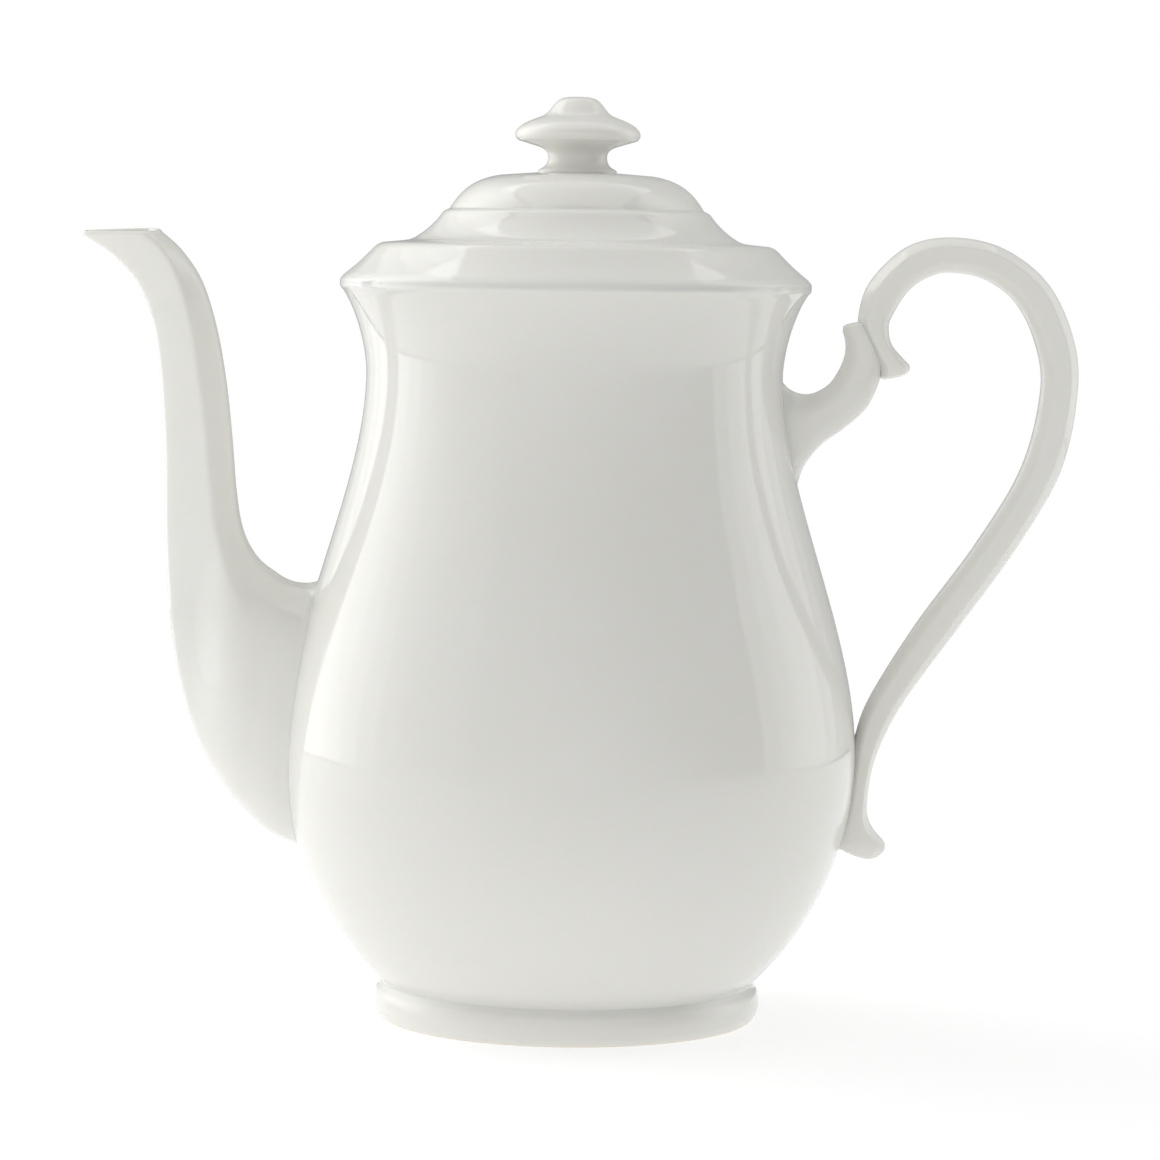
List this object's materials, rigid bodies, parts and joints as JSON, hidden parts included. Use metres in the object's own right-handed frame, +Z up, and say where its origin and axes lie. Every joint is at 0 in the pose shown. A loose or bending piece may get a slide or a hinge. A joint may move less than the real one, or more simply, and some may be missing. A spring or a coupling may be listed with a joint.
{
  "type": "coffee pot",
  "caption": "Pear-shaped porcelain coffee pot with a swan-necked spout, a scroll handle, a turned foot ring and a stepped lift-off lid with a knob.",
  "frame": {"origin": "on the pot's turning axis, in the plane that the foot ring stands on", "axes": "+Z up the turning axis, +X from the axis towards the handle, the spout points along -X, +Y away from the side that shows spout left and handle right"},
  "size_m": [0.2239, 0.1288, 0.207],
  "materials": {
    "glazed_porcelain": "clear glossy glaze over warm white porcelain",
    "foot_porcelain": "glossy glaze outside, wiped bare and smooth on the face that it stands on",
    "seat_porcelain": "thin glaze, wiped bare on the lower edge"
  },
  "bodies": {
    "pot": {"pot_body": "glazed_porcelain", "foot_ring": "foot_porcelain", "spout": "glazed_porcelain", "handle_bracket": "glazed_porcelain", "handle_loop": "glazed_porcelain"},
    "lid": {"lid_cover": "glazed_porcelain", "lid_flange": "seat_porcelain", "lid_lug": "seat_porcelain", "lid_knob": "glazed_porcelain"}
  },
  "joints": [
    {"name": "lid_lift", "type": "slide", "parent": "pot", "child": "lid", "axis": [0, 0, 1], "range_m": [0, 0.06]}
  ]
}
